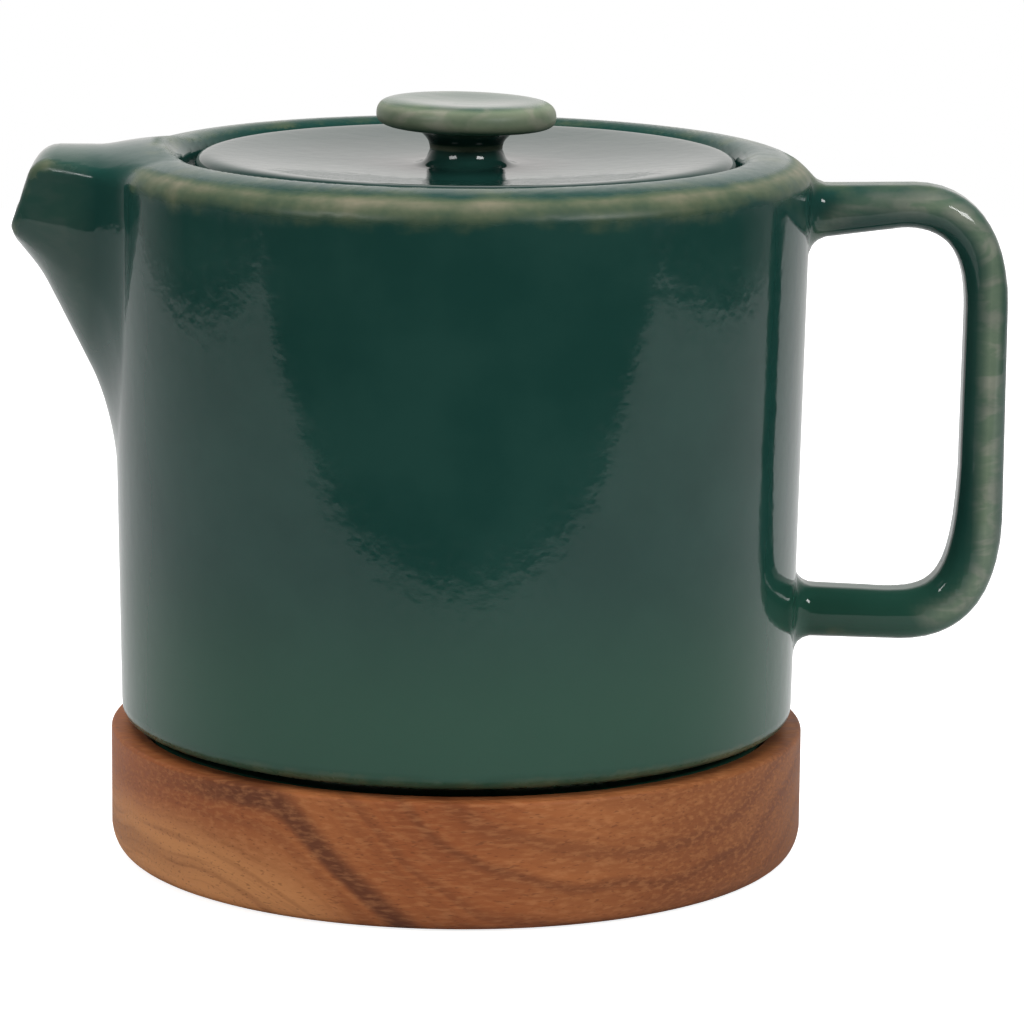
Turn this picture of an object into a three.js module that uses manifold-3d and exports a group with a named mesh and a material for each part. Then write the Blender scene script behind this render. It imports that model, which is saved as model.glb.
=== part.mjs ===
// A lidded stoneware teapot with a steel infuser basket, standing on a turned wooden base.
// Millimetres, +Z up. The origin is the centre of the base's underside.
// The spout points along -X and the handle along +X.

import * as THREE from 'three';
import { mergeVertices } from 'three/addons/utils/BufferGeometryUtils.js';
import Module from 'manifold-3d';

const wasm = await Module();
wasm.setup();

// ---- driving dimensions ----------------------------------------------------------------

const GAP = 0.3;                    // between pieces that touch
const TURNS = 48;                   // facets round a big turned piece
const KNOB_TURNS = 24;
const CURVE_STEPS = 4;              // points along each rounded stretch of an outline

const BASE_R = 65.6;
const BASE_H = 24.35;
const BASE_RECESS_R = 60;
const BASE_RECESS_DEPTH = 3.2;
const BASE_BOTTOM_ROUND = 4;
const BASE_TOP_EDGE = 0.6;

const FOOT_Z = BASE_H - BASE_RECESS_DEPTH + GAP;
const FOOT_OUTER_R = 58.5;
const FOOT_INNER_R = 52;
const UNDERSIDE_Z = 24.6;           // clay floor inside the foot ring
const FLOOR_Z = 30.6;               // inside floor

const WALL_LOW = { r: 63.6, z: 28.4 };
const WALL_HIGH = { r: 65.3, z: 128.6 };
const HEEL_Z = 25.9;                // lowest point of the wall outside the foot
const WALL_THICK = 5.2;
const RIM_Z = 133.4;
const RIM_RIDGE_R = 56;
const GALLERY_R = 51.8;             // the recess that takes the lid
const LEDGE_R = 47;                 // inner edge of the ledge under the lid
const LEDGE_Z = 127.7;
const LEDGE_THICK = 2.2;
const SHOULDER_Z = 117;             // where the inside wall starts to close in under the ledge

const SHEET = 0.6;                  // steel of the infuser
const BASKET_R = 41;                // outside of the perforated sleeve
const BASKET_TOP_Z = 123;
const BASKET_BOTTOM_Z = 49;
const COLLAR_FLANGE_R = 51;
const COLLAR_DROP = 12;
const COLLAR_Z = LEDGE_Z + GAP;     // underside of the collar's flange
const SLOT_ROWS = 2;
const SLOT_PAIRS = 8;               // each cutter goes through both sides of the sleeve
const SLOT_W = 3;
const SLOT_H = 24;
const SLOT_PITCH = 30;
const SLOT_FIRST = 20;              // from the basket's bottom to the middle of the first row

const LID_SHIFT_X = 0.9;            // the lid sits a little to the handle's side of its clearance
const LID_R = 50.5;
const LID_SEAT_Z = COLLAR_Z + SHEET + GAP;
const LID_WIDEST_Z = 130.4;
const LID_CREST_R = 47.5;
const LID_CENTRE_Z = 130.7;
const LID_COLLAR_R = 38.2;
const LID_COLLAR_THICK = 3;
const LID_COLLAR_Z = 121;
const LID_UNDERSIDE_Z = 126.6;

const KNOB_TOP_Z = 143.2;
const KNOB_R = 16.8;
const KNOB_STEM_R = 6.8;

const SPOUT_ROOF_Z = 133.6;         // along the middle; the roof falls away to both sides
const SPOUT_ROOF_R = 45;            // of that crown
const SPOUT_ROOT_X = -55;           // inside the wall, where the beak is trimmed off
const SPOUT_END_X = -86;            // beyond the mouth, where it is cut off
const SPOUT_TIP_HALF_WIDTH = 9.5;
const SPOUT_WIDENING = 0.42;        // more half-width for each millimetre towards the pot
const SPOUT_WALL = 3.4;
const KEEL = { x: -66.8, z: 87.1, slant: 2 };
const LIP_DROP = { near: 77, far: 85, depth: 4 };   // the keel levels out between these -X
const TURN_UNDER = { x: -82, z: 118.5, fall: 0.34 };
const KEEL_FULLNESS = 1.6;          // 1 would be a sharp V, 2 a parabola
const WALL_GROWTH = { factor: 1.2, length: 10 };    // thicker along the keel, away from the lip
const MOUTH_TOP = { x: -79.1, z: 132 };
const MOUTH_LIP = { x: -84, z: 118 };
const PORT_TOP_Z = 115;

const HANDLE_WIDTH = 12;            // along Y
const HANDLE_ROUND = 3.6;
const ROOT_X = 58;                  // the arms start inside the wall and are trimmed to it

// ---- materials -------------------------------------------------------------------------

function material(color, roughness, metalness) {
  return new THREE.MeshStandardMaterial({ color, roughness, metalness });
}

const glaze = () => material(0x24483f, 0.12, 0);
const acacia = () => material(0x8a5433, 0.5, 0);
const steel = () => material(0xb9bcbe, 0.3, 1);

// ---- solids ----------------------------------------------------------------------------

// Leaves only positions, joins equal corners and drops triangles that have no area.
function weld(geometry) {
  const bare = geometry.clone();
  bare.deleteAttribute('normal');
  bare.deleteAttribute('uv');
  const welded = mergeVertices(bare);
  const corners = welded.index.array;
  const kept = [];
  for (let i = 0; i < corners.length; i += 3) {
    const [a, b, c] = corners.slice(i, i + 3);
    if (a !== b && b !== c && c !== a) kept.push(a, b, c);
  }
  welded.setIndex(kept);
  return welded;
}

function toSolid(geometry) {
  const welded = weld(geometry);
  return new wasm.Manifold(new wasm.Mesh({
    numProp: 3,
    vertProperties: new Float32Array(welded.attributes.position.array),
    triVerts: new Uint32Array(welded.index.array),
  }));
}

function toGeometry(solid) {
  const mesh = solid.getMesh();
  const geometry = new THREE.BufferGeometry();
  geometry.setAttribute('position', new THREE.BufferAttribute(mesh.vertProperties, 3));
  geometry.setIndex(new THREE.BufferAttribute(mesh.triVerts, 1));
  geometry.computeVertexNormals();
  return geometry;
}

// Turns an outline drawn as (radius, height) round the Z axis.
function turned(outline, turns = TURNS) {
  const geometry = new THREE.LatheGeometry(outline.getPoints(CURVE_STEPS), turns);
  return weld(geometry.rotateX(Math.PI / 2));
}

// Draws an outline in the XZ plane into a plate centred on Y.
function plateAcrossY(outline, width, round) {
  const geometry = new THREE.ExtrudeGeometry(outline, {
    depth: width - 2 * round,
    bevelEnabled: round > 0,
    bevelThickness: round,
    bevelSize: round,
    bevelOffset: -round,
    bevelSegments: 3,
    curveSegments: 6,
  });
  return geometry.translate(0, 0, round - width / 2).rotateX(Math.PI / 2);
}

function piece(name, geometry, look) {
  const mesh = new THREE.Mesh(geometry, look);
  mesh.name = name;
  return mesh;
}

// ---- wooden base -----------------------------------------------------------------------

function woodBase() {
  const outline = new THREE.Path();
  outline.moveTo(0, 0);
  outline.lineTo(BASE_R - BASE_BOTTOM_ROUND, 0);
  outline.quadraticCurveTo(BASE_R, 0, BASE_R, BASE_BOTTOM_ROUND);
  outline.lineTo(BASE_R, BASE_H - BASE_TOP_EDGE);
  outline.lineTo(BASE_R - BASE_TOP_EDGE, BASE_H);
  outline.lineTo(BASE_RECESS_R, BASE_H);
  outline.lineTo(BASE_RECESS_R, BASE_H - BASE_RECESS_DEPTH);
  outline.lineTo(0, BASE_H - BASE_RECESS_DEPTH);
  return piece('wood_base', turned(outline), acacia());
}

// ---- pot body --------------------------------------------------------------------------

// The outside of the wall, from the heel to the ridge of the rim, let out by an allowance.
function drawWall(outline, allowance) {
  const heelRound = WALL_LOW.z - HEEL_Z;
  outline.lineTo(WALL_LOW.r - heelRound, HEEL_Z - allowance);
  outline.quadraticCurveTo(
    WALL_LOW.r + allowance, HEEL_Z - allowance, WALL_LOW.r + allowance, WALL_LOW.z);
  outline.lineTo(WALL_HIGH.r + allowance, WALL_HIGH.z);
  outline.absellipse(
    RIM_RIDGE_R, WALL_HIGH.z, WALL_HIGH.r - RIM_RIDGE_R + allowance,
    RIM_Z - WALL_HIGH.z + allowance, 0, Math.PI / 2);
}

function potBody(channel) {
  const outline = new THREE.Path();
  const footEdge = 0.6;
  outline.moveTo(0, UNDERSIDE_Z);
  outline.lineTo(FOOT_INNER_R, UNDERSIDE_Z);
  outline.lineTo(FOOT_INNER_R + footEdge, FOOT_Z);
  outline.lineTo(FOOT_OUTER_R - footEdge, FOOT_Z);
  outline.lineTo(FOOT_OUTER_R, FOOT_Z + footEdge);
  outline.lineTo(FOOT_OUTER_R, HEEL_Z - footEdge);
  drawWall(outline, 0);
  outline.quadraticCurveTo(GALLERY_R + 1, RIM_Z, GALLERY_R + 0.4, RIM_Z - 2.4);
  outline.lineTo(GALLERY_R, LEDGE_Z);
  outline.lineTo(LEDGE_R, LEDGE_Z);
  outline.lineTo(LEDGE_R, LEDGE_Z - LEDGE_THICK);
  const insideHighR = WALL_HIGH.r - WALL_THICK;
  const insideLowR = WALL_LOW.r - WALL_THICK;
  const cornerRound = 8;
  outline.quadraticCurveTo(insideHighR, LEDGE_Z - 2 * LEDGE_THICK, insideHighR, SHOULDER_Z);
  outline.lineTo(insideLowR, FLOOR_Z + cornerRound);
  outline.quadraticCurveTo(insideLowR, FLOOR_Z, insideLowR - cornerRound, FLOOR_Z);
  outline.lineTo(0, FLOOR_Z);
  const port = channel.trimByPlane([0, 0, -1], -PORT_TOP_Z);
  return piece('pot_body', toGeometry(toSolid(turned(outline)).subtract(port)), glaze());
}

// The space that the pot's outside fills, with a gap all round, to trim what is joined to it.
function wallEnvelope() {
  const outline = new THREE.Path();
  outline.moveTo(0, HEEL_Z - GAP);
  drawWall(outline, GAP);
  outline.lineTo(0, RIM_Z + GAP);
  return toSolid(turned(outline));
}

// ---- spout -----------------------------------------------------------------------------

// Height of the beak's keel at an X: a straight slant that levels out towards the lip.
function keelZ(x) {
  const levelled = THREE.MathUtils.smoothstep(-x, LIP_DROP.near, LIP_DROP.far);
  return KEEL.z - KEEL.slant * (x - KEEL.x) - LIP_DROP.depth * levelled;
}

// The height where the beak's upright sides start to turn under to the keel.
function turnUnderZ(x) {
  return TURN_UNDER.z - TURN_UNDER.fall * (x - TURN_UNDER.x);
}

function halfWidth(x) {
  return SPOUT_TIP_HALF_WIDTH + SPOUT_WIDENING * (x - MOUTH_LIP.x);
}

// How far up the inset lifts the keel: more where it slants steeply, less towards the thin lip.
function keelInset(x, inset) {
  const alongKeel = THREE.MathUtils.clamp((x - MOUTH_LIP.x) / WALL_GROWTH.length, 0, 1);
  return inset * (1 + WALL_GROWTH.factor * alongKeel);
}

// A beak with upright sides over a V of a keel, let in all round by the inset.
// Its section is drawn from -1 at the keel, through 0 where the sides turn under, to 1 at the roof.
function beak(inset) {
  const flat = 0.85;
  const keelSteps = 12;
  const section = new THREE.Shape();
  section.moveTo(1, 0);
  section.lineTo(1, flat);
  section.quadraticCurveTo(1, 1, flat, 1);
  section.lineTo(flat / 2, 1);
  section.lineTo(0, 1);
  section.lineTo(-flat / 2, 1);
  section.lineTo(-flat, 1);
  section.quadraticCurveTo(-1, 1, -1, flat);
  for (let step = 0; step < keelSteps; step += 1) {
    const across = 2 * step / keelSteps - 1;
    section.lineTo(across, Math.abs(across) ** KEEL_FULLNESS - 1);
  }
  const geometry = new THREE.ExtrudeGeometry(section, {
    depth: SPOUT_ROOT_X - SPOUT_END_X, steps: 14, bevelEnabled: false, curveSegments: 6,
  });
  const position = geometry.attributes.position;
  const leastDepth = 1;
  for (let i = 0; i < position.count; i += 1) {
    const x = SPOUT_END_X + position.getZ(i);
    const y = (halfWidth(x) - inset) * position.getX(i);
    const level = position.getY(i);
    const lowZ = keelZ(x) + keelInset(x, inset);
    const turnZ = Math.max(turnUnderZ(x), lowZ + leastDepth);
    const highZ = SPOUT_ROOF_Z - inset - y * y / (2 * SPOUT_ROOF_R);
    const reach = level < 0 ? turnZ - lowZ : highZ - turnZ;
    position.setXYZ(i, x, y, turnZ + level * reach);
  }
  return toSolid(geometry);
}

// Keeps what lies behind the sloping plane of the mouth.
function cutMouth(solid) {
  const alongMouth = new THREE.Vector3(MOUTH_TOP.x - MOUTH_LIP.x, 0, MOUTH_TOP.z - MOUTH_LIP.z);
  const inward = new THREE.Vector3(alongMouth.z, 0, -alongMouth.x).normalize();
  const offset = inward.x * MOUTH_LIP.x + inward.z * MOUTH_LIP.z;
  return solid.trimByPlane(inward.toArray(), offset);
}

function spout(envelope, channel) {
  const outside = cutMouth(beak(0));
  return piece('spout', toGeometry(outside.subtract(channel).subtract(envelope)), glaze());
}

// ---- handle ----------------------------------------------------------------------------

function handle(envelope) {
  const outline = new THREE.Shape();
  outline.moveTo(ROOT_X, 127.5);
  outline.lineTo(85, 127.9);
  outline.bezierCurveTo(95.8, 127.9, 102.7, 119.8, 102.8, 105);
  outline.lineTo(102.9, 64);
  outline.bezierCurveTo(102.3, 47, 94.2, 41.2, 84, 41.2);
  outline.lineTo(ROOT_X, 41.8);
  outline.lineTo(ROOT_X, 51.6);
  outline.lineTo(81, 50.6);
  outline.bezierCurveTo(90, 50.6, 93.6, 51.8, 94.5, 74);
  outline.lineTo(94.8, 104);
  outline.bezierCurveTo(94.8, 114.8, 91.4, 119.8, 83, 119.8);
  outline.lineTo(ROOT_X, 116.6);
  outline.closePath();
  const solid = toSolid(plateAcrossY(outline, HANDLE_WIDTH, HANDLE_ROUND));
  return piece('handle', toGeometry(solid.subtract(envelope)), glaze());
}

// ---- lid -------------------------------------------------------------------------------

function lid() {
  const outline = new THREE.Path();
  outline.moveTo(0, LID_UNDERSIDE_Z);
  outline.lineTo(LID_COLLAR_R - LID_COLLAR_THICK, LID_UNDERSIDE_Z);
  outline.lineTo(LID_COLLAR_R - LID_COLLAR_THICK, LID_COLLAR_Z);
  outline.lineTo(LID_COLLAR_R, LID_COLLAR_Z);
  outline.lineTo(LID_COLLAR_R, LID_SEAT_Z);
  outline.lineTo(LID_R - 0.6, LID_SEAT_Z);
  outline.lineTo(LID_R, LID_WIDEST_Z);
  outline.quadraticCurveTo(LID_R, RIM_Z, LID_CREST_R, RIM_Z);
  outline.quadraticCurveTo(LID_CREST_R - 9, LID_CENTRE_Z, 0, LID_CENTRE_Z);
  return piece('lid', turned(outline), glaze());
}

function lidKnob() {
  const stemFoot = { r: 8.2, z: LID_CENTRE_Z + GAP };
  const waistZ = RIM_Z;
  const cap = { r: 8.6, z: 136, lowZ: 138.3, wideZ: 140.8, crestR: 15 };
  const dish = 1;
  const outline = new THREE.Path();
  outline.moveTo(0, stemFoot.z);
  outline.lineTo(stemFoot.r, stemFoot.z);
  outline.quadraticCurveTo(KNOB_STEM_R, stemFoot.z + 0.5, KNOB_STEM_R, waistZ);
  outline.quadraticCurveTo(KNOB_STEM_R, 135, cap.r, cap.z);
  outline.quadraticCurveTo(10.2, cap.lowZ - 0.6, 14, cap.lowZ);
  outline.quadraticCurveTo(KNOB_R, cap.lowZ + 0.5, KNOB_R, cap.wideZ);
  outline.quadraticCurveTo(KNOB_R, KNOB_TOP_Z, cap.crestR, KNOB_TOP_Z);
  outline.quadraticCurveTo(cap.crestR - 6, KNOB_TOP_Z - dish, 0, KNOB_TOP_Z - dish);
  return piece('lid_knob', turned(outline, KNOB_TURNS), glaze());
}

// ---- infuser basket --------------------------------------------------------------------

// A flat ring that hangs on the ledge, with a short band down to the sleeve.
function infuserCollar() {
  const innerR = BASKET_R + GAP;
  const outline = new THREE.Path();
  outline.moveTo(innerR, COLLAR_Z - COLLAR_DROP);
  outline.lineTo(innerR + SHEET, COLLAR_Z - COLLAR_DROP);
  outline.lineTo(innerR + SHEET, COLLAR_Z);
  outline.lineTo(COLLAR_FLANGE_R, COLLAR_Z);
  outline.lineTo(COLLAR_FLANGE_R, COLLAR_Z + SHEET);
  outline.lineTo(innerR, COLLAR_Z + SHEET);
  outline.lineTo(innerR, COLLAR_Z - COLLAR_DROP);
  return piece('infuser_collar', turned(outline), steel());
}

function infuserSleeve() {
  const outline = new THREE.Path();
  outline.moveTo(BASKET_R - SHEET, BASKET_BOTTOM_Z);
  outline.lineTo(BASKET_R, BASKET_BOTTOM_Z);
  outline.lineTo(BASKET_R, BASKET_TOP_Z);
  outline.lineTo(BASKET_R - SHEET, BASKET_TOP_Z);
  outline.lineTo(BASKET_R - SHEET, BASKET_BOTTOM_Z);
  let sleeve = toSolid(turned(outline));
  const slot = new THREE.BoxGeometry(3 * BASKET_R, SLOT_W, SLOT_H);
  for (let row = 0; row < SLOT_ROWS; row += 1) {
    for (let pair = 0; pair < SLOT_PAIRS; pair += 1) {
      const turn = (pair + 0.5) * Math.PI / SLOT_PAIRS;
      const z = BASKET_BOTTOM_Z + SLOT_FIRST + row * SLOT_PITCH;
      sleeve = sleeve.subtract(toSolid(slot.clone().rotateZ(turn).translate(0, 0, z)));
    }
  }
  return piece('infuser_sleeve', toGeometry(sleeve), steel());
}

function infuserFloor() {
  const radius = BASKET_R - SHEET - GAP;
  const disc = new THREE.CylinderGeometry(radius, radius, SHEET, TURNS).rotateX(Math.PI / 2);
  let floor = toSolid(disc.translate(0, 0, BASKET_BOTTOM_Z + SHEET));
  const slotLength = 22;
  const slot = new THREE.BoxGeometry(slotLength, SLOT_W, 4 * SHEET);
  slot.translate(radius - slotLength / 2 - 5, 0, BASKET_BOTTOM_Z + SHEET);
  for (let turn = 0; turn < SLOT_PAIRS; turn += 1) {
    floor = floor.subtract(toSolid(slot.clone().rotateZ(turn * 2 * Math.PI / SLOT_PAIRS)));
  }
  return piece('infuser_floor', toGeometry(floor), steel());
}

// ---- the teapot ------------------------------------------------------------------------

const envelope = wallEnvelope();
const channel = beak(SPOUT_WALL);

const lidGroup = new THREE.Group();
lidGroup.add(lid(), lidKnob());
lidGroup.position.x = LID_SHIFT_X;

const teapot = new THREE.Group();
teapot.add(
  woodBase(),
  potBody(channel),
  spout(envelope, channel),
  handle(envelope),
  infuserCollar(),
  infuserSleeve(),
  infuserFloor(),
  lidGroup,
);

export default teapot;
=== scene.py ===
"""A green-glazed teapot on an acacia base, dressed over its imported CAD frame.

Shapes are worked out in millimetres, in the frame's own axes (+Z up, spout on -X, handle on +X),
and turned into metres when a mesh is made. The glazed pot is one fired piece of clay, so its body,
spout and handle are one continuous surface: the zero level of a distance field.
"""

import math

import bpy
import numpy as np
from mathutils import Matrix, Vector


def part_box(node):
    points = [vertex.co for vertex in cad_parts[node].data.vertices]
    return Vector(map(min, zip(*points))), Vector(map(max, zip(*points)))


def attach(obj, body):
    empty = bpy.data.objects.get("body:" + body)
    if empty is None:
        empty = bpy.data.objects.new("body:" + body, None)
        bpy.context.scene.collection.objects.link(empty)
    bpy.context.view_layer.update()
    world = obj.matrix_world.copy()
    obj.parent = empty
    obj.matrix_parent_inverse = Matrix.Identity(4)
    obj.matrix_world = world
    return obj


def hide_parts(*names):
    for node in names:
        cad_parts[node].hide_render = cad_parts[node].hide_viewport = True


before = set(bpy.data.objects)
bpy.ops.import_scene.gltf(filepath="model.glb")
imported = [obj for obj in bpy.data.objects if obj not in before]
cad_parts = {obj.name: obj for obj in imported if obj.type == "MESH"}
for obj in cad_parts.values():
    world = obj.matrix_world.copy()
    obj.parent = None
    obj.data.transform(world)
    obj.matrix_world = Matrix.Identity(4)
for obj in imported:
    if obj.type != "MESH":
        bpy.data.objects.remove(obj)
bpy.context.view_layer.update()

MM = 0.001
GAP = 0.3  # between pieces that touch, as in the frame


def node_mm(node):
    """A CAD node's lowest and highest corners in millimetres."""
    low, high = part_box(node)
    return np.array(low) / MM, np.array(high) / MM


_, BASE_HIGH = node_mm("wood_base")
POT_LOW, POT_HIGH = node_mm("pot_body")
SPOUT_LOW, _ = node_mm("spout")
HANDLE_LOW, HANDLE_HIGH = node_mm("handle")
LID_LOW, LID_HIGH = node_mm("lid")
KNOB_LOW, KNOB_HIGH = node_mm("lid_knob")
COLLAR_LOW, COLLAR_HIGH = node_mm("infuser_collar")
SLEEVE_LOW, SLEEVE_HIGH = node_mm("infuser_sleeve")
FLOOR_LOW, FLOOR_HIGH = node_mm("infuser_floor")

RIM_Z = POT_HIGH[2]
FOOT_Z = POT_LOW[2]
LID_X = (LID_LOW[0] + LID_HIGH[0]) / 2


# ---- camera ------------------------------------------------------------------------------


CAMERA_PLACE = (0.0, -0.9389, 0.2481)
CAMERA_PAN, CAMERA_TILT, CAMERA_ROLL = -0.62, 90 - 11.06, 0.592  # degrees; a tilt of 90 is level


def make_camera():
    """A long lens almost a metre in front of the spout-to-handle plane, a little above the lid."""
    data = bpy.data.cameras.new("camera")
    data.sensor_width = 36.0
    data.lens = 177.7
    data.clip_start = 0.05
    data.clip_end = 20.0
    camera = bpy.data.objects.new("camera", data)
    turn = Matrix.Rotation(math.radians(CAMERA_PAN), 4, "Z")
    turn = turn @ Matrix.Rotation(math.radians(CAMERA_TILT), 4, "X")
    turn = turn @ Matrix.Rotation(math.radians(CAMERA_ROLL), 4, "Z")
    camera.matrix_world = Matrix.Translation(CAMERA_PLACE) @ turn
    bpy.context.scene.collection.objects.link(camera)
    bpy.context.scene.camera = camera


make_camera()


# ---- outlines ----------------------------------------------------------------------------


def arc(centre, radii, start, end, steps):
    """Points along an elliptical arc in a plane, angles in degrees."""
    a = np.radians(np.linspace(start, end, steps + 1))
    return np.stack([centre[0] + radii[0] * np.cos(a), centre[1] + radii[1] * np.sin(a)], 1)


def bezier(*controls, steps=12):
    """Points along a Bezier curve of any degree."""
    t = np.linspace(0, 1, steps + 1)[:, None]
    n = len(controls) - 1
    return sum(
        math.comb(n, i) * (1 - t) ** (n - i) * t**i * np.array(c, float) for i, c in enumerate(controls)
    )


def outline(*parts):
    """Joins points and stretches of points into one list, without repeats."""
    points = np.vstack([np.atleast_2d(np.array(p, float)) for p in parts])
    keep = np.append(True, np.abs(np.diff(points, axis=0)).sum(1) > 1e-6)
    return points[keep]


def polygon_distance(px, py, polygon):
    """Signed distance from points to a closed polygon, negative inside."""
    best = np.full(px.shape, 1e12, np.float32)
    sign = np.ones(px.shape, np.float32)
    for (ax, ay), (bx, by) in zip(polygon, np.roll(polygon, 1, axis=0)):
        ex, ey = bx - ax, by - ay
        wx, wy = px - ax, py - ay
        t = np.clip((wx * ex + wy * ey) / (ex * ex + ey * ey), 0, 1)
        dx, dy = wx - ex * t, wy - ey * t
        best = np.minimum(best, dx * dx + dy * dy)
        above = py >= ay
        below = py < by
        left = ex * wy > ey * wx
        flip = (above & below & left) | (~above & ~below & ~left)
        sign = np.where(flip, -sign, sign)
    return sign * np.sqrt(best)


# ---- distance fields ---------------------------------------------------------------------


def join_round(a, b, radius):
    """Union of two fields with a fillet of that radius."""
    corner = np.hypot(np.maximum(radius - a, 0), np.maximum(radius - b, 0))
    return np.maximum(radius, np.minimum(a, b)) - corner


def common_round(a, b, radius):
    """What two fields share, with its edges rounded to that radius."""
    corner = np.hypot(np.maximum(radius + a, 0), np.maximum(radius + b, 0))
    return np.minimum(-radius, np.maximum(a, b)) + corner


PAST_AXIS = -20  # outlines of radius and height run past the axis, so that no edge lies on it
WALL_LOW = (63.6, 28.6)  # radius and height where the wall starts above its heel
WALL_HIGH = (65.3, 128.4)  # and where it ends under the rolled rim
WALL_THICK = 5.2
HEEL_Z = 25.9  # lowest point of the wall outside the foot
FOOT_R, FOOT_INNER_R = 58.5, 52.6
FOOT_EDGE = 0.8
FOOT_HOLLOW = 3.1  # how far the clay inside the foot ring stands above its edge
FLOOR_THICK = 9.15  # from the foot's edge to the floor inside
FLOOR_CORNER = 8
RIDGE_R = 55.6  # where the rolled rim is highest
SHOULDER_Z = 117  # where the inside wall starts to close in under the ledge
GALLERY_R = 51.8  # the recess that takes the lid
LEDGE_R = 47.0
LEDGE_Z = 127.7
LEDGE_EDGE = 0.5
EDGE_ROUND = 1.2
SPOUT_FILLET = 4.5
HANDLE_FILLET = 3.4


def pot_outside():
    """The pot's outside as a filled outline of radius and height."""
    heel = WALL_LOW[1] - HEEL_Z
    return outline(
        (PAST_AXIS, FOOT_Z + FOOT_HOLLOW),
        (FOOT_INNER_R - FOOT_EDGE, FOOT_Z + FOOT_HOLLOW),
        (FOOT_INNER_R, FOOT_Z),
        (FOOT_R - FOOT_EDGE, FOOT_Z),
        (FOOT_R, FOOT_Z + FOOT_EDGE),
        (FOOT_R, HEEL_Z),
        arc((WALL_LOW[0] - heel, WALL_LOW[1]), (heel, heel), -90, 0, 8),
        arc((RIDGE_R, WALL_HIGH[1]), (WALL_HIGH[0] - RIDGE_R, RIM_Z - WALL_HIGH[1]), 0, 90, 16),
        (PAST_AXIS, RIM_Z),
    )


def pot_inside():
    """The space inside the pot: the chamber, the ledge's neck and the gallery for the lid."""
    chamber_low_r, chamber_high_r = WALL_LOW[0] - WALL_THICK, WALL_HIGH[0] - WALL_THICK
    floor_z = FOOT_Z + FLOOR_THICK
    above_rim = RIM_Z + 1.4
    corner = FLOOR_CORNER
    return outline(
        (PAST_AXIS, floor_z),
        arc((chamber_low_r - corner, floor_z + corner), (corner, corner), -90, 0, 6),
        (chamber_high_r, SHOULDER_Z),
        bezier((chamber_high_r, SHOULDER_Z), (chamber_high_r, 122.5), (LEDGE_R + 1, 125), steps=6),
        (LEDGE_R, 125.8),
        (LEDGE_R, LEDGE_Z - LEDGE_EDGE),
        (LEDGE_R + LEDGE_EDGE, LEDGE_Z),
        (GALLERY_R, LEDGE_Z),
        (GALLERY_R + 0.5, 131.2),
        (GALLERY_R + 1.6, 132.6),
        (GALLERY_R + 4.0, above_rim),
        (PAST_AXIS, above_rim),
    )


# Places in the spout are (X, height).
KEEL_KNEE = (-66.8, 87.1)
KEEL_SLANT = 2.0
KEEL_FULLNESS = 1.6  # 1 would be a sharp V, 2 a parabola
LIP_DROP = 4.0  # how much lower than its straight slant the keel is at the lip
LIP_START, LIP_LENGTH = 77, 8  # where on -X the keel starts to level out, and over what length
TURN_UNDER = (-82.0, 118.5)  # where the upright sides start to turn under
TURN_FALL = 0.34  # and how that line falls towards the pot
TURN_ROUND = 2.5
TIP_HALF_WIDTH = 9.5
WIDENING = 0.42  # more half-width for each millimetre towards the pot
ROOF_Z = 133.6
ROOF_CROWN_R = 45.0
ROOF_EDGE, MOUTH_EDGE = 1.7, 3.2
SPOUT_ROOT_X = -50
SPOUT_WALL = 3.4
WALL_GROWTH, WALL_GROWTH_LENGTH = 1.2, 10  # the wall gets thicker along the keel, away from the lip
MOUTH_TOP = np.array([-79.1, 132.0])
MOUTH_LIP = np.array([-84.0, 118.0])
PORT_X, PORT_TOP_Z = -54, 115  # the way through the wall starts here, under this roof
CHANNEL_RISE, CHANNEL_RISE_START, CHANNEL_RISE_LENGTH = 14, 61, 12  # its roof then rises to the mouth


def keel_z(x):
    """Height of the beak's keel at an X: a straight slant that levels out towards the lip."""
    t = np.clip((-x - LIP_START) / LIP_LENGTH, 0, 1)
    return KEEL_KNEE[1] - KEEL_SLANT * (x - KEEL_KNEE[0]) - LIP_DROP * t * t * (3 - 2 * t)


def beak_side(x, y, z, inset):
    """Distance to the beak's flared upright sides and the V of a keel that they turn under to."""
    half = np.maximum(TIP_HALF_WIDTH + WIDENING * (x - MOUTH_LIP[0]) - inset, 1.0)
    growth = WALL_GROWTH * np.clip((x - MOUTH_LIP[0]) / WALL_GROWTH_LENGTH, 0, 1)
    low = keel_z(x) + inset * (1 + growth)
    turn = np.maximum(TURN_UNDER[1] - TURN_FALL * (x - TURN_UNDER[0]), low + 1)
    depth = turn - low
    upright = (np.abs(y) - half) / math.hypot(1, WIDENING)
    spread = np.abs(y) / half
    level = spread**KEEL_FULLNESS + (turn - z) / depth - 1
    slope_y = KEEL_FULLNESS * spread ** (KEEL_FULLNESS - 1) / half
    slope_x = slope_y * spread * WIDENING
    slope_x = slope_x + (KEEL_SLANT - TURN_FALL) * np.clip(turn - z, 0, depth) / depth**2
    slope_x += TURN_FALL / depth
    under = level / np.sqrt(slope_y**2 + slope_x**2 + 1 / depth**2)
    return common_round(upright, under, TURN_ROUND)


def mouth_plane(x, z):
    """Distance in front of the slanting plane of the spout's mouth."""
    along = (MOUTH_TOP - MOUTH_LIP) / np.linalg.norm(MOUTH_TOP - MOUTH_LIP)
    return -(x - MOUTH_LIP[0]) * along[1] + (z - MOUTH_LIP[1]) * along[0]


def spout_solid(x, y, z):
    """The beak without its channel, from inside the pot's wall to the mouth."""
    side = np.maximum(beak_side(x, y, z, 0.0), x - SPOUT_ROOT_X)
    roof = z - ROOF_Z + y * y / (2 * ROOF_CROWN_R)
    top = common_round(roof, mouth_plane(x, z), MOUTH_EDGE)
    return common_round(side, top, ROOF_EDGE)


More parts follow.
